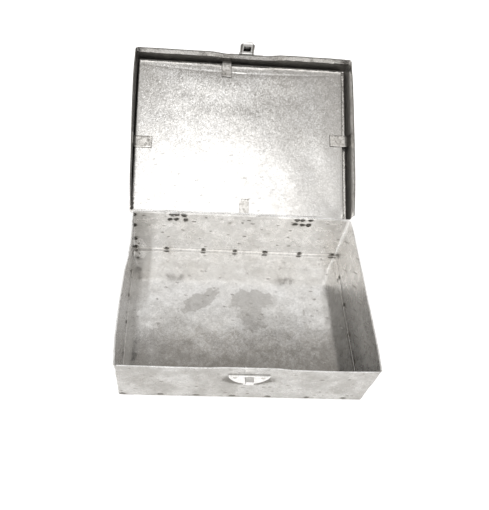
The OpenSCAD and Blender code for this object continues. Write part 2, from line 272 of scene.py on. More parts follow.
HALF_X = float(WALL_HI[0]) - BODY_T
HALF_Y = float(WALL_HI[1]) - BODY_T
TOP = float(WALL_HI[2])
FOOT = float(WALL_LO[2])
REAR_X = spread(7, -HALF_X + 2.8, HALF_X - 5.5, 3)
FRONT_X = spread(7, -HALF_X + 2.4, 0.84 * HALF_X, 5)
LEFT_Y = spread(4, -0.55 * HALF_Y, 0.62 * HALF_Y, 7)
RIGHT_Y = spread(4, -0.58 * HALF_Y, 0.6 * HALF_Y, 9)
WELD_Z = 3.6                    # height of the welds along the foot of each wall
HINGE_Z = [TOP - 1.5, TOP - 10]
HINGE_STEP = 8.4                # spacing of the three welds in a row on a hinge leaf
SEAM_Z = [5, 20, 45, TOP - 4]
SEAM_X = -HALF_X + 3.4


def weld_spots():
    """Middle of every weld: (wall, along, z, half width, half height)."""
    rng = np.random.default_rng(11)
    out = []
    for wall, places in (("rear", REAR_X), ("front", FRONT_X), ("left", LEFT_Y), ("right", RIGHT_Y)):
        out += [(wall, float(p), WELD_Z, rng.uniform(2.5, 3.3), rng.uniform(1.5, 1.9)) for p in places]
    for centre in HINGE_X:
        for z in HINGE_Z:
            for step in (-HINGE_STEP, 0, HINGE_STEP):
                dx, dz = rng.uniform(-1.5, 1.5), rng.uniform(-0.6, 0.6)
                size = rng.uniform(2.6, 3.2), rng.uniform(2.2, 2.8)
                out.append(("rear", centre + step + dx, z + dz, *size))
    out += [("rear", SEAM_X + rng.uniform(-0.4, 0.4), z, 2.6, 2.4) for z in SEAM_Z]
    return out


WELDS = weld_spots()


def weld_distance(co):
    """Distance of each point from the nearest weld's middle, 1 at the weld's edge and 3 at most."""
    far = np.full(len(co), 3.0)
    at_wall = {
        "rear": co[:, 1] > HALF_Y - WALL_ZONE, "front": co[:, 1] < -HALF_Y + WALL_ZONE,
        "left": co[:, 0] < -HALF_X + WALL_ZONE, "right": co[:, 0] > HALF_X - WALL_ZONE}
    for wall, along, z, a, b in WELDS:
        x = co[:, 0] if wall in ("rear", "front") else co[:, 1]
        d = np.sqrt(((x - along) / a) ** 2 + ((co[:, 2] - z) / b) ** 2)
        far = np.where(at_wall[wall], np.minimum(far, d), far)
    return far


# ------------------------------------------------------------------ how the sheets are bent out of true

# Outward bow of the rim and of the lid's lip in mm, by place along the wall: from front (-1) to back (1)
# on the side walls, and from left (-1) to right (1) on the front wall. BACK_RIM is how far the back rim is
# lifted, from left to right
BODY_LEFT = ((-1, 0.8), (-0.9, 1.7), (-0.65, 2.7), (-0.4, 2.2), (0.08, 0.5), (0.38, -2.8), (0.7, -3.6),
             (1, -2.4))
BODY_RIGHT = ((-1, 0.8), (-0.8, 2.2), (0, 2.5), (0.5, 2.6), (0.8, 1.9), (1, 0.9))
BODY_FRONT = ((-1, 0.8), (-0.5, 1.2), (0, 1.1), (0.4, 1.6), (0.75, 1.8), (1, 0.9))
LID_LEFT = ((-1, 1.4), (-0.85, 2.6), (-0.65, 3.0), (-0.35, 2.6), (0.08, 1.3), (0.7, -0.4), (1, -2.4))
LID_RIGHT = ((-1, 1.0), (-0.8, 2.5), (0, 3.3), (0.5, 3.1), (0.8, 2.2), (1, 1.0))
BACK_RIM = ((-1, 3.6), (-0.3, 4.6), (0.3, 4.6), (0.7, 3.4), (1, 1.6))
LATCH_FLAT = 22     # the sheets are flat this far from the latch's middle
LATCH_EASE = 22     # and bend out to their full bow over this much more


def at_latch(x):
    """1 behind the latch plates, where the sheets lie flat, and 0 well beside them."""
    return smoothstep((LATCH_FLAT + LATCH_EASE - np.abs(x - LATCH_X)) / LATCH_EASE)


def on_floor(co):
    """The points moved down to z = 0, so that noise runs over the flat sheet only."""
    return co * np.array([1, 1, 0])


def warp_body(co):
    """Bows the walls, dents them, and lifts the back rim."""
    co = co.copy()
    x, y, z = co.T
    u, v = x / HALF_X, y / HALF_Y
    up = smoothstep((z - 4) / (TOP - 4))
    left, right, front, rear = near(-x, HALF_X), near(x, HALF_X), near(-y, HALF_Y), near(y, HALF_Y)
    out_x = right * up * curve(v, BODY_RIGHT) - left * up * curve(v, BODY_LEFT)
    flare = up + (smoothstep((z - TOP + 12) / 10) * 0.18 - up) * at_latch(x)
    out_y = rear * up * 0.7 * bump(u, 0, 0.5) - front * flare * curve(u, BODY_FRONT)
    # hammered unevenness, none at the foot or behind the catch
    dents = wobble(np.column_stack([x, y, z * 1.4]), 31, 2) * 0.5 + wobble(co, 13, 4) * 0.16
    inner = up * bump(z, 36, 40)
    out_x += (right - left) * dents * inner
    out_y += (rear - front * (1 - at_latch(x))) * dents * inner * 0.8
    co[:, 0] += out_x
    co[:, 1] += out_y
    # the back rim stands a little high
    co[:, 2] += near(y, HALF_Y, 55) * smoothstep((z - 26) / 40) * curve(u, BACK_RIM)
    # each weld presses the sheet outward
    deep = 0.22 * smoothstep(1.4 - weld_distance(co))
    in_y, in_x = HALF_Y - WALL_ZONE, HALF_X - WALL_ZONE
    co[:, 1] += np.where(y > in_y, deep, np.where(y < -in_y, -0.6 * deep, 0))
    co[:, 0] += np.where(x > in_x, deep, np.where(x < -in_x, -deep, 0))
    # knocked front left corner
    knock = np.exp(-((x + HALF_X) ** 2 + (y + HALF_Y) ** 2) / 30 - (z - TOP + 15) ** 2 / 14)
    co[:, 0] += 1.1 * knock
    co[:, 1] += 0.9 * knock
    return co


def warp_pan(co):
    """Leaves the floor a little uneven between its edges."""
    co = co.copy()
    x, y = co[:, 0], co[:, 1]
    rim = np.minimum(PAN_HI[0] - np.abs(x), PAN_HI[1] - np.abs(y))
    calm = smoothstep((rim - 1.5) / 16)
    dish = 0.34 * (wobble(on_floor(co), 58, 5) + 1) * calm
    dish += 0.07 * (wobble(on_floor(co), 17, 6) + 1) * calm
    co[:, 2] += dish
    return co


def warp_lid(co):
    """Bows and dents the shut lid's lips, most at their free edges, and buckles its top."""
    co = co.copy()
    x, y, z = co.T
    flat = on_floor(co)
    free = smoothstep((LID_HI[2] - 4 - z) / (LID_HI[2] - LID_LO[2] - 4))
    left, right, front = near(-x, LID_HI[0]), near(x, LID_HI[0]), near(-y, LID_HI[1])
    u, v = x / LID_HI[0], y / LID_HI[1]
    loose = 1 - 1.08 * at_latch(x)
    dents = wobble(co, 27, 8) * 0.35 + wobble(co, 11, 9) * 0.12
    out_x = right * curve(v, LID_RIGHT) - left * curve(v, LID_LEFT) + (right - left) * dents * 0.6
    out_y = -front * (curve(u, BODY_FRONT) + 0.6 + dents) * loose
    co[:, 0] += free * out_x
    co[:, 1] += free * out_y
    top = smoothstep((z - LID_HI[2] + 3) / 2.5)
    edge = np.minimum(LID_HI[0] - np.abs(x), LID_HI[1] - np.abs(y))
    co[:, 2] += top * smoothstep((edge - 4) / 30) * 0.5 * wobble(flat, 62, 10)
    return co


def tab_places():
    """Middle of each tab on the shut panel, as (x, y)."""
    out = []
    for side in SIDES:
        lo, hi = span(side + "_tab", SHUT)
        out.append(((lo[0] + hi[0]) / 2, (lo[1] + hi[1]) / 2))
    return out


TABS = tab_places()
RIDGE = 11  # how far in from the panel's front edge the short ridge lies


def warp_panel(co):
    """Buckles the panel, but not where the tabs hold it, and bends one corner."""
    co = co.copy()
    x, y, z = co.T
    lo, hi = PANEL_LO, PANEL_HI
    edge = np.minimum.reduce([x - lo[0], hi[0] - x, y - lo[1], hi[1] - y])
    face = smoothstep((lo[2] + 2 - z) / 1.5)
    calm = smoothstep((edge - 2) / 40)
    for tx, ty in TABS:
        calm = calm * smoothstep(np.hypot(x - tx, y - ty) / 40 - 0.3)
    dish = 0.36 * (wobble(on_floor(co), 75, 12) + 0.7)
    dish += 0.1 * (wobble(on_floor(co), 24, 13) + 1)
    co[:, 2] += face * calm * dish
    # a shallow arc creased along the front edge, and one corner bent in
    arc = y - (lo[1] + 7 + 5.5 * (1 - (x / hi[0]) ** 2))
    co[:, 2] += face * 0.05 * np.exp(-(arc / 1.6) ** 2) * smoothstep((edge - 1.5) / 6)
    # a short pressed ridge beside the front tab
    ridge = bump(x, TABS[0][0] + 17, 8) * np.exp(-((y - lo[1] - RIDGE) / 0.8) ** 2)
    co[:, 2] -= face * 0.35 * ridge
    corner = smoothstep(1 - np.hypot(x - hi[0], y - hi[1]) / 20)
    co[:, 2] += face * 1.4 * corner ** 2
    return co


# ------------------------------------------------------------------ the sheets

def build_walls():
    """One strip bent round four sides, hemmed outward at the rim, its end lapped at the back left."""
    t, gap = BODY_T, 0.12
    reach = (t + gap) / 2
    fold = TOP - 1.5 * t - gap / 2
    rows = stations(FOOT, fold, 5, [WELD_Z] + HINGE_Z + SEAM_Z, 0.95, 3.4)
    low_hem = TOP - HEM
    rows = np.array(sorted(set(np.round(rows, 3)) | {round(low_hem - 0.15, 3)}))
    hem = [(2 * reach, z) for z in np.linspace(low_hem, fold, 5)[:-1]]
    over_fold = arc_profile(reach, fold, reach, 0, 180, FOLD_STEPS + 1)
    profile = hem + over_fold + [(0, z) for z in rows[::-1][1:]]
    high_welds = [along for wall, along, z, a, b in WELDS if z > TOP / 2]
    xs = stations(-HALF_X + 2, HALF_X - 2, 5, list(REAR_X) + list(FRONT_X) + high_welds, 1.0)
    ys = stations(-HALF_Y + 2, HALF_Y - 2, 5, list(LEFT_Y) + list(RIGHT_Y), 1.0)
    grid = rings(HALF_X - t / 2, HALF_Y - t / 2, 2 - t / 2, profile, xs, ys)
    mid = face_middles(grid)
    hem_rows = np.arange(len(profile) - 1)[:, None] < len(hem) + FOLD_STEPS
    corner = (np.abs(mid[..., 0]) > HALF_X - HEM_RELIEF) & (np.abs(mid[..., 1]) > HALF_Y - HEM_RELIEF)
    walls = sheet("wall_sheet", grid, ~(hem_rows & corner), warp=warp_body)
    thicken(walls, t)
    return walls


def build_seam():
    """The strip's lapped end on the outside of the back wall."""
    x0, x1 = -HALF_X + 2.2, -HALF_X + 2.2 + SEAM_W
    xs = np.linspace(x0, x1, 11)
    zs = stations(FOOT, TOP - HEM - 0.4, 4, SEAM_Z, 1.0, 3)
    gx, gz = np.meshgrid(xs, zs)
    y = HALF_Y + BODY_T / 2 + 0.06
    verts = np.column_stack([gx.ravel(), np.full(gx.size, y), gz.ravel()])
    lap = new_object("seam_lap", verts, quads(len(zs), len(xs), closed=False), warp_body)
    return thicken(lap, BODY_T * 0.9)


def build_pan():
    """The floor, its edge turned up inside the walls."""
    t, r = BODY_T, 1.15
    hx, hy = float(PAN_HI[0]), float(PAN_HI[1])
    h = float(PAN_HI[2])
    xs = stations(-hx + r, hx - r, 4, list(REAR_X) + list(FRONT_X), 1.0)
    ys = stations(-hy + r, hy - r, 4, list(LEFT_Y) + list(RIGHT_Y), 1.0)
    lip = [(-t / 2, z) for z in np.arange(h, r + 0.3, -0.6)]
    bend = arc_profile(-r, r, r - t / 2, 0, -90, 6)
    grid = rings(hx, hy, r, lip + bend, xs, ys)
    pan = sheet("pan_sheet", grid, None, xs, ys, warp_pan)
    return thicken(pan, t)


def build_lid():
    """Lid top with four lips, the lip edges folded inward, the back lip cut short for the hinges."""
    t, gap = LID_T, 0.08
    hx, hy = float(LID_HI[0]), float(LID_HI[1])
    low, top, r = float(LID_LO[2]), float(LID_HI[2]), 3.0
    reach = (t + gap) / 2
    fold = low + t / 2 + reach
    back_edge = AXIS_Z + 0.3
    notch = AXIS_Z + 2.6
    rows = sorted(set(np.round(np.linspace(fold, top - r, 7), 3)) | {back_edge, notch})
    lean = 0.3 / LIP_HEM
    hem = [(-t / 2 - 2 * reach - lean * (z - fold), z) for z in np.linspace(low + LIP_HEM, fold, 5)[:-1]]
    over_fold = arc_profile(-t / 2 - reach, fold, reach, 180, 360, FOLD_STEPS + 1)
    wall = [(-t / 2, z) for z in rows[1:]]
    bend = arc_profile(-r, top - r, r - t / 2, 0, 90, 7)[1:]
    profile = hem + over_fold + wall + bend
    cuts = [x + s * (HINGE_W / 2 + 1.2) for x in HINGE_X for s in (-1, 1)]
    xs = np.array(sorted(set(np.round(stations(-hx + r, hx - r, 4), 3)) | set(np.round(cuts, 3))))
    ys = stations(-hy + r, hy - r, 4)
    grid = rings(hx, hy, r, profile, xs, ys)
    grid[0, :, 2] += 0.9 * wobble(grid[0], 9, 21) + 0.4 * wobble(grid[0], 4, 22)
    folded_in = grid[:len(hem)]
    at_front = folded_in[..., 1] < -hy + 4
    folded_in[..., 1] += at_front * 0.3 * (folded_in[..., 2] - fold) / LIP_HEM
    mid = face_middles(grid)
    x, y, z = mid[..., 0], mid[..., 1], mid[..., 2]
    folded = np.arange(len(profile) - 1)[:, None] < len(hem) + FOLD_STEPS
    corner = (np.abs(x) > hx - 4.5) & (np.abs(y) > hy - 4.5)
    back = y > hy - r + 0.1
    in_notch = np.zeros(x.shape, bool)
    for centre in HINGE_X:
        in_notch |= np.abs(x - centre) < HINGE_W / 2 + 1.2
    gone = (folded & (corner | (y > hy - 4))) | (back & (z < back_edge)) | (back & in_notch & (z < notch))
    lid = sheet("lid_sheet", grid, ~gone, xs, ys, warp_lid)
    return thicken(lid, t)


def build_panel():
    """The loose panel, its edge turned up towards the lid's top."""
    t, r = PANEL_T, 1.5
    lo, hi = PANEL_LO, PANEL_HI
    cx, cy = float(lo[0] + hi[0]) / 2, float(lo[1] + hi[1]) / 2
    hx, hy = float(hi[0] - lo[0]) / 2, float(hi[1] - lo[1]) / 2
    z0, z1 = float(lo[2]), float(hi[2])
    xs = stations(-hx + r, hx - r, 3)
    ys = stations(-hy + r, hy - r, 3, [RIDGE - hy], 0.5, 2.5)
    lip = [(-t / 2, z) for z in np.linspace(z1, z0 + r + 0.4, 4)]
    bend = arc_profile(-r, z0 + r, r - t / 2, 0, -90, 6)
    grid = rings(hx, hy, r, lip + bend, xs, ys) + np.array([cx, cy, 0])
    panel = sheet("panel_sheet", grid, None, xs + cx, ys + cy, warp_panel)
    return thicken(panel, t)


def tab_path(wall, tip, low, face, out):
    """Points (across, z) up the tab's leg, round its bend and along its flat, and how many are on the leg."""
    r = 1.2
    leg = [(wall, z) for z in np.linspace(low, face - r, 8)]
    bend = [(wall - out * r * (1 - math.cos(a)), face - r * (1 - math.sin(a)))
            for a in np.radians(np.linspace(10, 80, 5))]
    flat = [(p, face) for p in np.linspace(wall - out * 1.3, tip, 12)]
    return leg + bend + flat, len(leg) + 2


def off_hem(z):
    """How far the leg springs outward once it is past the lip's hem."""
    past = z - float(LID_LO[2]) - LIP_HEM
    return 0.5 * float(smoothstep((past + 0.2) / 1.6) * (1 - smoothstep((past - 5) / 2)))


def build_tab(side, seed):
    """A strip bent square over the panel's edge, crumpled where it was pressed down."""
    lo, hi = span(side + "_tab", SHUT)
    along = 0 if side in ("front", "rear") else 1
    across = 1 - along
    out = -1 if side in ("front", "left") else 1
    outer, tip = (lo, hi) if out < 0 else (hi, lo)
    wall = float(outer[across]) - out * STRIP_T / 2
    path, leg_points = tab_path(wall, float(tip[across]), float(lo[2]), float(hi[2]) - STRIP_T / 2, out)
    width = np.linspace(float(lo[along]), float(hi[along]), 9)
    rng = np.random.default_rng(seed)
    verts = []
    length = np.concatenate([[0], np.cumsum([math.dist(a, b) for a, b in zip(path, path[1:])])])
    for k, (p, z) in enumerate(path):
        share = length[k] / length[-1]
        for w in width:
            u = (w - width[0]) / (width[-1] - width[0]) - 0.5
            n = noise.noise(Vector((w / 3.2, length[k] / 3.4, seed * 4.7)))
            n2 = noise.noise(Vector((w / 7, length[k] / 8, seed * 2.9)))
            lift = max(0, share - 0.35) * (0.25 + 0.9 * abs(n) + 1.1 * abs(n2) * share)
            lift += 1.2 * max(0, share - 0.86) * (0.5 + abs(u) * rng.uniform(0.6, 1.0)) * 3
            spot = [0, 0, z - lift]
            spot[along] = w + 0.35 * n2 * share * (1 if u > 0 else -1)
            spot[across] = p
            if k < leg_points:
                spot[across] += out * (off_hem(z) - 0.2 * abs(n) * min(1, k / 3))
            verts.append(spot)
    tab = new_object(side + "_strip", verts, quads(len(path), len(width), closed=False), warp_lid)
    thicken(tab, STRIP_T)
    m = tab.modifiers.new("soft", "BEVEL")
    m.width = 0.12 * MM
    m.segments = 2
    m.limit_method = "ANGLE"
    m.angle_limit = math.radians(50)
    return bake(tab)


# ------------------------------------------------------------------ small ironmongery from the CAD shapes

def softened(name, node, width=0.12):
    """A copy of a CAD node with its flat faces merged and its edges eased."""
    source = frame["nodes"][node].data
    bm = bmesh.new()
    bm.from_mesh(source)
    for layer in list(bm.verts.layers.float_vector):
        bm.verts.layers.float_vector.remove(layer)
    bmesh.ops.remove_doubles(bm, verts=bm.verts, dist=0.002 * MM)
    bmesh.ops.dissolve_limit(bm, angle_limit=math.radians(1.0), verts=bm.verts, edges=bm.edges)
    sharp = [e for e in bm.edges if len(e.link_faces) == 2 and e.calc_face_angle(0) > math.radians(38)]
    bmesh.ops.bevel(bm, geom=sharp, offset=width * MM, segments=2, profile=0.6, affect="EDGES",
                    clamp_overlap=True)
    bmesh.ops.recalc_face_normals(bm, faces=bm.faces)
    mesh = bpy.data.meshes.new(name)
    bm.to_mesh(mesh)
    bm.free()
    obj = bpy.data.objects.new(name, mesh)
    bpy.context.scene.collection.objects.link(obj)
    return obj


# ------------------------------------------------------------------ materials

class Nodes:
    """Short ways to add nodes to a material or a world."""

    def __init__(self, owner):
        owner.use_nodes = True
        self.owner = owner
        self.tree = owner.node_tree
        self.tree.nodes.clear()

    def add(self, kind, *inputs, **settings):
        n = self.tree.nodes.new("ShaderNode" + kind)
        for key, value in settings.items():
            setattr(n, key, value)
        for socket, value in zip(n.inputs, inputs):
            self.put(socket, value)
        return n

    def put(self, socket, value):
        if isinstance(value, bpy.types.NodeSocket):
            self.tree.links.new(value, socket)
        elif value is not None:
            socket.default_value = value

    def math(self, operation, *inputs):
        return self.add("Math", *inputs, operation=operation).outputs[0]

    def vector(self, operation, *inputs):
        return self.add("VectorMath", *inputs, operation=operation).outputs[0]

    def scaled(self, vec, by):
        return self.vector("MULTIPLY", vec, by)

    def fade(self, value, lo, hi, out_lo=0.0, out_hi=1.0):
        n = self.add("MapRange", value, lo, hi, out_lo, out_hi, interpolation_type="SMOOTHSTEP")
        return n.outputs[0]

    def mix(self, share, a, b, kind="MIX"):
        return self.add("MixRGB", share, a, b, blend_type=kind).outputs[0]

    def noise(self, vec, scale, detail=3.0, rough=0.55, twist=0.0):
        n = self.add("TexNoise")
        for key, value in (("Vector", vec), ("Scale", scale), ("Detail", detail), ("Roughness", rough),
                           ("Distortion", twist)):
            self.put(n.inputs[key], value)
        return n.outputs[0]

    def cells(self, vec, scale, **settings):
        n = self.add("TexVoronoi", **settings)
        self.put(n.inputs["Vector"], vec)
        self.put(n.inputs["Scale"], scale)
        return n

    def number(self, name):
        return self.add("Attribute", attribute_name=name).outputs["Fac"]


def grey(value, warmth=0.0):
    """A neutral tone, warmer as warmth rises."""
    return (value * (1 + warmth), value, value * (1 - 1.6 * warmth), 1)


def steel(name, tone=0.6, warmth=0.03, rough=0.35, spangle=3.2, tilt=0.05, clouds=0.1, smudge=0.6,
          crevice=0.6, metal=0.95, relief=0.02, extra=None):
    """Galvanised sheet: crystal spangle, clouded tarnish, a few dark smudges, and painted shade darkening its
    corners and crevices.
    """
    n = Nodes(bpy.data.materials.new(name))
    place = n.add("TexCoord").outputs["Object"]
    p = n.scaled(place, (1000.0, 1000.0, 1000.0))
    warped = n.vector("ADD", p, n.scaled(n.add("TexNoise", p, None, 0.35).outputs["Color"], (2.2, 2.2, 2.2)))
    crystal = n.cells(warped, 1 / spangle)
    fine = n.cells(warped, 2.3 / spangle)
    cloud = n.noise(p, 0.022, 5.0, 0.62)
    mottle = n.noise(p, 0.11, 5.0, 0.6)
    grain = n.noise(p, 0.9, 4.0, 0.65)

    bright = grey(tone * (1 + clouds), warmth * 0.4)
    colour = n.mix(n.fade(cloud, 0.25, 0.75), grey(tone * (1 - clouds), warmth * 1.5), bright)
    colour = n.mix(n.fade(mottle, 0.3, 0.7, 0.0, 0.45), colour, grey(tone * 0.9, warmth * 1.4))
    for pattern, low, high in ((crystal, 0.94, 1.05), (fine, 0.96, 1.04)):
        share = n.add("SeparateColor", pattern.outputs["Color"]).outputs[0]
        by = n.fade(share, 0.0, 1.0, low, high)
        colour = n.mix(1.0, colour, n.add("CombineXYZ", by, by, by).outputs[0], "MULTIPLY")

    # dark ovals: small ones few and far between, and faint wide ones
    along, across, up = n.add("SeparateXYZ", p).outputs
    flat = n.add("CombineXYZ", n.math("MULTIPLY_ADD", across, 0.37, along),
                 n.math("MULTIPLY_ADD", across, 0.9, up)).outputs[0]
    seeds = n.cells(n.scaled(flat, (1.0, 2.0, 1.0)), 1 / 15, voronoi_dimensions="2D")
    picked = n.fade(n.add("SeparateColor", seeds.outputs["Color"]).outputs[1], 0.45, 0.57)
    size = n.add("SeparateColor", seeds.outputs["Color"]).outputs[2]
    ragged = n.math("ADD", seeds.outputs["Distance"], n.fade(n.noise(p, 0.5, 3.0), 0.25, 0.75, -0.07, 0.07))
    oval = n.fade(n.math("DIVIDE", ragged, n.fade(size, 0.0, 1.0, 0.6, 1.3)), 0.06, 0.15, 1.0, 0.0)
    spots = n.math("MULTIPLY", n.math("MULTIPLY", oval, picked), n.fade(size, 0.1, 0.9, 0.45, 1.0))
    colour = n.mix(n.math("MULTIPLY", spots, smudge), colour, grey(tone * 0.3, 0.08))
    haze = n.fade(n.noise(n.scaled(p, (1.0, 1.0, 1.6)), 0.045, 3.0, 0.55, 0.8), 0.58, 0.72)
    colour = n.mix(n.math("MULTIPLY", haze, smudge * 0.28), colour, grey(tone * 0.45, 0.08))

    roughness = n.math("ADD", rough, n.fade(mottle, 0.3, 0.7, -0.04, 0.05))
    roughness = n.math("ADD", roughness, n.math("MULTIPLY", spots, 0.18))

    # painted shade: ambient occlusion darkens the colour in corners and crevices, over a short and a longer
    # reach, broken up by grain
    for reach, share in ((0.0022, crevice), (0.009, crevice * 0.45)):
        occlusion = n.add("AmbientOcclusion", samples=6)
        n.put(occlusion.inputs["Distance"], reach)
        ao_shade = n.fade(occlusion.outputs["AO"], 0.1, 0.75, share, 0.0)
        ao_shade = n.math("MULTIPLY", ao_shade, n.fade(grain, 0.2, 0.6, 0.75, 1.0))
        colour = n.mix(ao_shade, colour, grey(0.06, 0.1))

    if extra is not None:
        colour, roughness = extra(n, p, colour, roughness)

    geometry = n.add("NewGeometry").outputs["Normal"]
    lean = n.vector("SUBTRACT", crystal.outputs["Color"], (0.5, 0.5, 0.5))
    lean_fine = n.vector("SUBTRACT", fine.outputs["Color"], (0.5, 0.5, 0.5))
    tilted = n.vector("ADD", geometry, n.scaled(lean, (tilt * 2, tilt * 2, tilt * 2)))
    tilted = n.vector("ADD", tilted, n.scaled(lean_fine, (tilt, tilt, tilt)))
    tilted = n.vector("NORMALIZE", tilted)
    rise = n.add("Bump")
    n.put(rise.inputs["Strength"], 0.35)
    n.put(rise.inputs["Distance"], relief * MM)
    n.put(rise.inputs["Height"], n.math("ADD", grain, n.math("MULTIPLY", mottle, 3.0)))
    n.put(rise.inputs["Normal"], tilted)

    surface = n.add("BsdfPrincipled")
    n.put(surface.inputs["Base Color"], colour)
    n.put(surface.inputs["Metallic"], metal)
    n.put(surface.inputs["Roughness"], roughness)
    n.put(surface.inputs["Normal"], rise.outputs[0])
    out = n.add("OutputMaterial")
    n.put(out.inputs["Surface"], surface.outputs[0])
    return n.owner


def weld_marks(n, p, colour, roughness):
    """Burnt rings where the sheets are spot-welded, some with a clean middle."""
    far = n.number("weld")
    far = n.math("ADD", far, n.fade(n.noise(p, 0.5, 3.0), 0.25, 0.75, -0.3, 0.3))
    halo = n.fade(far, 1.0, 2.1, 0.3, 0.0)
    burnt = n.fade(far, 0.95, 1.25, 0.95, 0.0)
    some = n.fade(n.noise(p, 0.1, 1.0), 0.42, 0.58, 0.1, 0.75)
    clean = n.math("MULTIPLY", n.fade(far, 0.25, 0.75, 1.0, 0.0), some)
    colour = n.mix(halo, colour, grey(0.26, 0.09))
    colour = n.mix(burnt, colour, grey(0.055, 0.09))
    colour = n.mix(clean, colour, grey(0.34, 0.04))
    roughness = n.math("ADD", roughness, n.math("MULTIPLY", burnt, 0.2))
    return colour, roughness


def blob(n, p, centre, size, turn, edge=0.12):
    """A soft-edged uneven patch on the floor, 1 inside."""
    flat = n.vector("SUBTRACT", p, (centre[0], centre[1], 0.0))
    flat = n.add("VectorRotate", flat, rotation_type="Z_AXIS")
    n.put(flat.inputs["Angle"], math.radians(turn))
    flat = n.scaled(flat.outputs[0], (1 / size[0], 1 / size[1], 0.0))
    far = n.add("VectorMath", flat, operation="LENGTH").outputs["Value"]
    far = n.math("ADD", far, n.fade(n.noise(p, 0.11, 5.0, 0.62), 0.25, 0.75, -0.4, 0.4))
    return n.fade(far, 1.0 - edge, 1.0 + edge, 1.0, 0.0)


# Middle and half size as shares of the floor's half width and half depth, turn in degrees, and strength
STAINS = (((-0.35, 0.22), (0.075, 0.29), 54, 0.55), ((0.12, 0.26), (0.20, 0.15), -4, 0.52),
          ((0.12, 0.02), (0.12, 0.21), -16, 0.45), ((0.32, 0.25), (0.05, 0.10), 20, 0.2),
          ((0.61, 0.10), (0.012, 0.05), 0, 0.45), ((-0.45, 0.78), (0.22, 0.06), 0, 0.14),
          ((0.18, 0.72), (0.10, 0.14), 0, 0.16))


def floor_stains(n, p, colour, roughness):
    """Dried water marks on the pan, smears, and a mottled painted reflection darkening its front half."""
    colour, roughness = weld_marks(n, p, colour, roughness)
    w, d = float(PAN_HI[0]), float(PAN_HI[1])
    mark = 0.0
    for (cx, cy), (long, wide), turn, depth in STAINS:
        patch = blob(n, p, (cx * w, cy * d), (long * w, wide * d), turn)
        mark = n.math("MAXIMUM", mark, n.math("MULTIPLY", patch, depth))
    colour = n.mix(mark, colour, grey(0.27, 0.05))
    x, y = n.add("SeparateXYZ", p).outputs[:2]
    # duller strips along the left and right walls
    right = n.math("MULTIPLY", n.fade(x, 0.78 * w, 0.81 * w), n.fade(y, 0.38 * d, 0.44 * d, 0.22, 0.0))
    right = n.math("MULTIPLY", right, n.fade(y, -0.45 * d, 0.0))
    left = n.math("MULTIPLY", n.fade(x, -0.80 * w, -0.84 * w), n.fade(y, -0.5 * d, 0.5 * d, 0.0, 0.4))
    colour = n.mix(n.math("MAXIMUM", left, right), colour, grey(0.22, 0.06))
    # painted reflection: the front half of the floor darkened where it mirrors the viewer's dark shape, its
    # edge ragged and mottled
    y = n.math("ADD", y, n.fade(n.noise(p, 0.06, 4.0, 0.6), 0.2, 0.8, -22, 22))
    front = n.math("MULTIPLY", n.fade(y, -0.32 * d, -0.08 * d, 0.3, 0.0), n.fade(x, -0.82 * w, -0.6 * w))
    reflection_mottle = n.fade(n.noise(p, 0.3, 5.0, 0.7), 0.42, 0.58, 0.25, 1.3)
    colour = n.mix(n.math("MULTIPLY", front, reflection_mottle), colour, grey(0.36, 0.08))
    return colour, roughness


def marks_and_painted_light(n, p, colour, roughness):
    """Weld marks, tarnish outside, painted highlights along the rim and inside the corners, and a painted
    shadow round the catch plate.
    """
    colour, roughness = weld_marks(n, p, colour, roughness)
    x, y, z = n.add("SeparateXYZ", p).outputs
    face_x, face_y = n.add("SeparateXYZ", n.add("TexCoord").outputs["Normal"]).outputs[:2]
    outside = n.math("MULTIPLY", n.fade(face_y, -0.3, -0.7), n.fade(y, -HALF_Y + 8, -HALF_Y + 4))
    tarnish = n.fade(n.noise(p, 0.045, 4.0, 0.6), 0.35, 0.65, 0.2, 0.62)
    colour = n.mix(n.math("MULTIPLY", outside, tarnish), colour, grey(0.26, 0.06))
    foot = n.fade(n.math("ADD", z, n.fade(n.noise(p, 0.2, 3.0), 0.2, 0.8, -2, 2)), 1.0, 2.6, 0.5, 0.0)
    colour = n.mix(foot, colour, grey(0.15, 0.09))
    # painted highlight: the top of the rim lightened in patches
    patchy = n.fade(n.noise(p, 0.08, 3.0), 0.35, 0.6, 0.25, 0.9)
    rim_highlight = n.math("MULTIPLY", n.fade(z, TOP - 0.9, TOP - 0.35), patchy)
    colour = n.mix(rim_highlight, colour, grey(0.93, 0.0))
    # painted highlight on the corners, on the inside only, where the bends catch the light
    corner = [n.math("SUBTRACT", n.math("ABSOLUTE", c), half - 2.9) for c, half in ((x, HALF_X), (y, HALF_Y))]
    corner = n.fade(n.math("MINIMUM", *corner), 0.0, 0.4, 0.0, 0.7)
    outward_y = n.math("MULTIPLY", face_y, n.math("DIVIDE", y, HALF_Y))
    outward = n.math("MULTIPLY_ADD", face_x, n.math("DIVIDE", x, HALF_X), outward_y)
    corner = n.math("MULTIPLY", corner, n.fade(outward, -0.2, -0.5))
    colour = n.mix(corner, colour, grey(0.95, 0.0))
    # painted shadow: a soft dark halo on the front wall round the catch plate, a little below its middle
    c = (CATCH_LO + CATCH_HI) / 2
    wide, tall = float(CATCH_HI[0] - CATCH_LO[0]) / 2, float(CATCH_HI[2] - CATCH_LO[2]) / 2
    rel = n.vector("SUBTRACT", p, (LATCH_X, -HALF_Y, float(c[2]) - 1.0))
    rel = n.scaled(rel, (1 / (wide + 3), 1 / 40, 1 / (tall + 0.5)))
    far = n.add("VectorMath", rel, operation="LENGTH").outputs["Value"]
    far = n.math("ADD", far, n.fade(n.noise(p, 0.2, 3.0), 0.2, 0.8, -0.12, 0.12))
    halo = n.math("MULTIPLY", n.fade(far, 0.92, 1.22, 0.8, 0.0), outside)
    return n.mix(halo, colour, grey(0.1, 0.1)), roughness


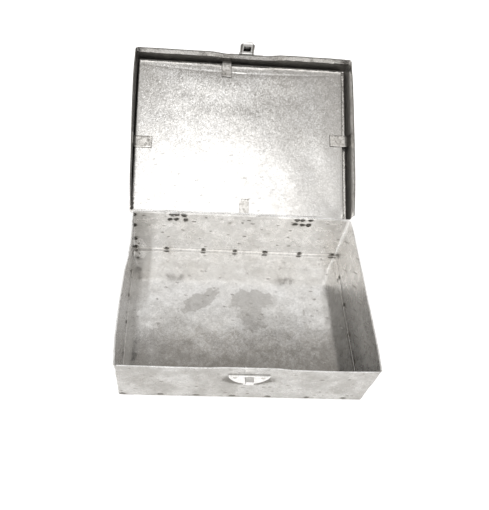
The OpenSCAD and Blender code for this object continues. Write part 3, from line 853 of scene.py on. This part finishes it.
def lid_grime_and_painted_shade(n, p, colour, roughness):
    """Near-black painted shade, with some grime, inside the lips behind their hems, thickest at the left; a
    blotched front hem; and painted shade on the lips' folded edges.
    """
    x, y, z = n.add("SeparateXYZ", p).outputs
    facing = n.add("TexCoord").outputs["Normal"]
    face_x, face_y = n.add("SeparateXYZ", facing).outputs[:2]
    low, ragged = float(LID_LO[2]), n.fade(n.noise(p, 0.12, 4.0), 0.25, 0.75, -1.4, 1.4)
    height = n.math("ADD", z, ragged)
    inner_y = n.math("MULTIPLY", n.fade(face_y, 0.4, 0.7), n.fade(y, 0.0, -20.0))
    inner_left = n.math("MULTIPLY", n.fade(face_x, 0.4, 0.7), n.fade(x, 0.0, -20.0))
    inner_right = n.math("MULTIPLY", n.fade(face_x, -0.4, -0.7), n.fade(x, 0.0, 20.0))
    # painted shade: the inner faces of the lips behind their hems darkened to near black, for deep shadow
    # with some grime
    for inner, start, full, depth in ((inner_y, LIP_HEM - 1, LIP_HEM + 1.5, 0.97), (inner_left, -3, 4, 0.93),
                                      (inner_right, 1, 12, 0.78)):
        dark = n.math("MULTIPLY", inner, n.fade(height, low + start, low + full, 0.0, depth))
        colour = n.mix(dark, colour, grey(0.025, 0.1))
        roughness = n.math("ADD", roughness, n.math("MULTIPLY", dark, 0.25))
    blot = n.math("MULTIPLY", inner_y, n.fade(n.noise(p, 0.07, 4.0, 0.65), 0.36, 0.52, 0.6, 0.0))
    colour = n.mix(blot, colour, grey(0.14, 0.08))
    dull = n.fade(z, low + LIP_HEM, low + LIP_HEM + 3, 0.0, 0.3)
    colour = n.mix(dull, colour, grey(0.42, 0.04))
    # painted shade: the lips' folded lower edge darkened to near black
    rim = n.fade(z, low + 0.3, low + 1.1, 0.8, 0.0)
    return n.mix(rim, colour, grey(0.05, 0.1)), roughness


def panel_tab_shadows(n, p, colour, roughness):
    """A thin dark line of painted shadow round each tab pressed on the panel."""
    x, y = n.add("SeparateXYZ", p).outputs[:2]
    for side in SIDES:
        lo, hi = span(side + "_tab", SHUT)
        off = []
        for c, a, b in zip((x, y), lo, hi):
            from_middle = n.math("ABSOLUTE", n.math("SUBTRACT", c, float(a + b) / 2))
            off.append(n.math("SUBTRACT", from_middle, float(b - a) / 2))
        # painted shadow along the tab's edge, faint at the rear tab
        ring = n.fade(n.math("MAXIMUM", *off), 0.1, 1.2, 0.7 if side != "rear" else 0.2, 0.0)
        colour = n.mix(ring, colour, grey(0.06, 0.1))
    return colour, roughness


def tab_wear_and_shade(n, p, colour, roughness):
    """Crumpled bright strips, with painted shade turning them black where their legs go up behind the panel's
    edge.
    """
    x, y, z = n.add("SeparateXYZ", p).outputs
    inset = [n.math("SUBTRACT", float(high), n.math("ABSOLUTE", c)) for high, c in zip(LID_HI, (x, y))]
    # painted shade: the legs near the lips turned black, deepest behind the hem
    leg = n.fade(n.math("MINIMUM", *inset), 2.6, 4.6, 1.0, 0.0)
    deep = n.fade(z, float(LID_LO[2]) + LIP_HEM - 2, float(LID_LO[2]) + LIP_HEM, 0.35, 0.93)
    creased = n.fade(n.noise(p, 0.35, 4.0, 0.6, 0.6), 0.45, 0.62, 0.0, 0.5)
    colour = n.mix(creased, colour, grey(0.2, 0.08))
    return n.mix(n.math("MULTIPLY", leg, deep), colour, grey(0.04, 0.1)), roughness


def plate_painted_shade(n, p, colour, roughness):
    """Painted shade on the bright plating: near-black hollows, darker side faces, and darker flanks on the
    lid's pieces.
    """
    # painted shade: faces that look to the left or right darkened
    side = n.math("ABSOLUTE", n.add("SeparateXYZ", n.add("TexCoord").outputs["Normal"]).outputs[0])
    colour = n.mix(n.fade(side, 0.45, 0.8, 0.0, 0.85), colour, grey(0.07, 0.1))
    # painted shade on the flanks either side of the middle, on the lid's pieces
    x, y = n.add("SeparateXYZ", p).outputs[:2]
    off = n.math("ABSOLUTE", n.math("SUBTRACT", x, LATCH_X))
    flank = n.math("MULTIPLY", n.fade(off, 5.4, 6.6), n.fade(off, 7.6, 8.4, 0.75, 0.0))
    colour = n.mix(n.math("MULTIPLY", flank, n.fade(y, 0.0, 50.0)), colour, grey(0.08, 0.1))
    # painted shade: ambient occlusion blackens the hollows, most on the lid's pieces
    hollow = n.add("AmbientOcclusion", samples=8)
    n.put(hollow.inputs["Distance"], 0.014)
    ao_shade = n.fade(hollow.outputs["AO"], 0.42, 0.72, 0.98, 0.0)
    dark = n.math("MULTIPLY", ao_shade, n.fade(y, 0.0, 50.0, 0.15, 1.0))
    colour = n.mix(dark, colour, grey(0.015, 0.1))
    return colour, roughness


MATERIALS = {
    "body_sheet": steel("galvanised_body", 0.66, 0.012, 0.28, 2.2, 0.018, 0.09, smudge=0.75, crevice=0.35,
                        extra=marks_and_painted_light),
    "pan_sheet": steel("galvanised_pan", 0.66, 0.014, 0.13, 1.8, 0.004, 0.07, smudge=0.25, crevice=0.12,
                       extra=floor_stains),
    "lid_sheet": steel("galvanised_lid", 0.80, 0.02, 0.26, 2.6, 0.035, 0.14, crevice=0.95, extra=lid_grime_and_painted_shade),
    "panel_sheet": steel("galvanised_panel", 0.70, 0.012, 0.15, 1.4, 0.02, 0.03, smudge=0.0, crevice=0.5,
                         extra=panel_tab_shadows),
    "tab_strip": steel("galvanised_strip", 0.78, 0.02, 0.34, 2.0, 0.07, smudge=0.8, crevice=0.9,
                       extra=tab_wear_and_shade),
    "hinge_leaf": steel("zinc_hinge", 0.55, 0.02, 0.36, 2.0, 0.03, crevice=0.8),
    "latch_plate": steel("nickel_plate", 0.88, 0.008, 0.32, 1.4, 0.02, 0.03, smudge=0.3, crevice=0.9,
                         extra=plate_painted_shade),
    "pin_wire": steel("drawn_wire", 0.42, 0.03, 0.3, 1.2, 0.02, crevice=0.85),
    "rivet": steel("peened_rivet", 0.6, 0.03, 0.28, 1.2, 0.04, crevice=0.95),
}


def dress(obj, slot_name, body, *nodes, at=None):
    """Shading, material, body and the CAD nodes a piece stands for."""
    if at is not None:
        obj.matrix_world = at
    if "weld" not in obj.data.attributes:
        paint(obj, "weld", np.full(len(obj.data.vertices), 3.0))
    obj.data.materials.clear()
    obj.data.materials.append(MATERIALS[slot_name])
    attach(obj, body)
    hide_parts(*nodes)
    return obj


# ------------------------------------------------------------------ pieces

def build_body():
    """The walls, their lapped seam and the pan, with their weld marks."""
    walls = shade(build_walls())
    paint(walls, "weld", weld_distance(local(walls)))
    dress(walls, "body_sheet", "body", "wall_band")
    lap = shade(build_seam())
    paint(lap, "weld", weld_distance(local(lap)))
    dress(lap, "body_sheet", "body", "wall_band")
    pan = shade(build_pan())
    paint(pan, "weld", weld_distance(local(pan)))
    dress(pan, "pan_sheet", "body", "floor_pan")


def build_lid_parts():
    """The lid's sheet, the panel and the tabs that hold it."""
    dress(shade(build_lid()), "lid_sheet", "lid", "lid_shell", at=OPEN)
    dress(shade(build_panel()), "panel_sheet", "lid", "lid_panel", at=OPEN)
    for k, side in enumerate(SIDES):
        dress(shade(build_tab(side, k + 1)), "tab_strip", "lid", side + "_tab", at=OPEN)


SMALL = {
    "body": {"left_hinge_body_leaf": "hinge_leaf", "right_hinge_body_leaf": "hinge_leaf",
             "left_hinge_pin": "pin_wire", "right_hinge_pin": "pin_wire", "catch_plate": "latch_plate",
             "left_catch_rivet": "rivet", "right_catch_rivet": "rivet"},
    "lid": {"left_hinge_lid_leaf": "hinge_leaf", "right_hinge_lid_leaf": "hinge_leaf",
            "hasp_plate": "latch_plate", "left_hasp_rivet": "rivet", "right_hasp_rivet": "rivet",
            "hasp_pin": "pin_wire"},
    "hasp": {"hasp": "latch_plate"},
}


def build_small():
    """The hinges, the latch and its rivets, from their CAD shapes."""
    for body, members in SMALL.items():
        for node, slot_name in members.items():
            piece = softened(node + "_eased", node)
            dress(shade(piece), slot_name, body, node)


# ------------------------------------------------------------------ studio

def build_floor():
    """A plain pale floor, a little luminous so that it stays white."""
    bpy.ops.mesh.primitive_plane_add(size=30)
    floor = bpy.context.object
    floor.name = "studio_floor"
    n = Nodes(bpy.data.materials.new("studio_floor"))
    surface = n.add("BsdfPrincipled")
    n.put(surface.inputs["Base Color"], (0.93, 0.93, 0.93, 1))
    n.put(surface.inputs["Roughness"], 0.9)
    n.put(surface.inputs["Emission Color"], (1, 1, 1, 1))
    n.put(surface.inputs["Emission Strength"], 0.3)
    out = n.add("OutputMaterial")
    n.put(out.inputs["Surface"], surface.outputs[0])
    floor.data.materials.append(n.owner)


# Brightness round the room, by height in degrees from the horizon behind the box (0), over the top
# (90), to the horizon behind the viewer (180), where the viewer's dark shape stands
ROOM = ((0, 1.0), (44, 1.2), (53, 1.3), (56, 1.1), (58.8, 1.25), (60.2, 0.36), (68, 0.3), (86, 0.36),
        (91, 0.46), (96, 0.72), (112, 0.8), (119, 0.95), (123.5, 0.8), (126, 0.95), (129, 1.25), (133, 1.3),
        (139, 1.1), (143, 0.02), (156, 0.02), (160, 1.3), (180, 1.1))
# Lamps overhead, behind the viewer, at the far left and high left, and a shaded wall at the left:
# direction, inner and outer angle, and how much light each adds
LIGHTS = (((0.05, -0.242, 0.969), 4, 13, 1.3), ((0.17, -0.68, 0.72), 4, 20, 1.3),
          ((-0.42, -0.58, 0.70), 10, 24, 2.2), ((-0.16, -0.07, 0.985), 1, 10, 0.25),
          ((-0.33, 0.46, 0.82), 3, 15, -0.8))
PEAK = 4.0  # the ramp holds levels up to 1, so they are divided by this and multiplied back


def lobe(n, direction, aim, inner, outer, value):
    """A round patch of sky about a direction: value inside, fading to 0 at the outer angle."""
    aim = tuple(Vector(aim).normalized())
    dot = n.add("VectorMath", direction, aim, operation="DOT_PRODUCT").outputs["Value"]
    return n.fade(dot, math.cos(math.radians(outer)), math.cos(math.radians(inner)), 0.0, value)


def build_sky():
    """The soft bands and patches of light that the sheets mirror, a little warmer where they are dim."""
    world = bpy.data.worlds.new("studio")
    bpy.context.scene.world = world
    n = Nodes(world)
    direction = n.vector("NORMALIZE", n.add("TexCoord").outputs["Generated"])
    x, y, z = n.add("SeparateXYZ", direction).outputs
    height = n.math("DIVIDE", n.math("ARCTAN2", z, y), math.pi)
    ramp = n.add("ValToRGB", height)
    stops = ramp.color_ramp.elements
    while len(stops) > 1:
        stops.remove(stops[-1])
    stops[0].position = 0
    for k, (angle, level) in enumerate(ROOM):
        stop = stops[0] if k == 0 else stops.new(angle / 180)
        stop.color = (level / PEAK,) * 3 + (1,)
    level = n.math("MULTIPLY", ramp.outputs["Color"], PEAK)
    side = n.fade(n.math("ABSOLUTE", x), 0.48, 0.62)
    level = n.math("ADD", n.math("MULTIPLY", level, n.math("SUBTRACT", 1.0, side)), side)
    for aim, inner, outer, extra in LIGHTS:
        level = n.math("ADD", level, lobe(n, direction, aim, inner, outer, extra))
    level = n.math("MAXIMUM", level, 0.02)
    back = n.add("Background")
    n.put(back.inputs["Color"], n.mix(n.fade(level, 0.3, 1.1), (1.0, 0.955, 0.895, 1), (1.0, 0.992, 0.98, 1)))
    n.put(back.inputs["Strength"], level)
    out = n.add("OutputWorld")
    n.put(out.inputs["Surface"], back.outputs[0])


def build_camera():
    """The photograph's viewpoint: above and in front, a little left, turned slightly clockwise."""
    yaw, pitch, roll = (math.radians(a) for a in (-6.14, 51.03, -7.10))
    right = Vector((math.cos(yaw), math.sin(yaw), 0))
    ahead = Vector((-math.sin(yaw), math.cos(yaw), 0))
    look = ahead * math.cos(pitch) + Vector((0, 0, -math.sin(pitch)))
    down = look.cross(right)
    x_axis = right * math.cos(roll) + down * math.sin(roll)
    y_axis = right * math.sin(roll) - down * math.cos(roll)
    width = float(WALL_HI[0] - WALL_LO[0]) * MM
    data = bpy.data.cameras.new("camera")
    data.lens = 40.40
    data.shift_x = 0.0613
    data.shift_y = -0.0232
    data.clip_start = 0.01
    camera = bpy.data.objects.new("camera", data)
    turn = Matrix((x_axis, y_axis, -look)).transposed()
    camera.matrix_world = Matrix.Translation(Vector((-0.2968, -1.3389, 2.1918)) * width) @ turn.to_4x4()
    bpy.context.scene.collection.objects.link(camera)
    bpy.context.scene.camera = camera


build_body()
build_lid_parts()
build_small()
build_floor()
build_sky()
build_camera()
bpy.context.scene.view_settings.view_transform = "Standard"
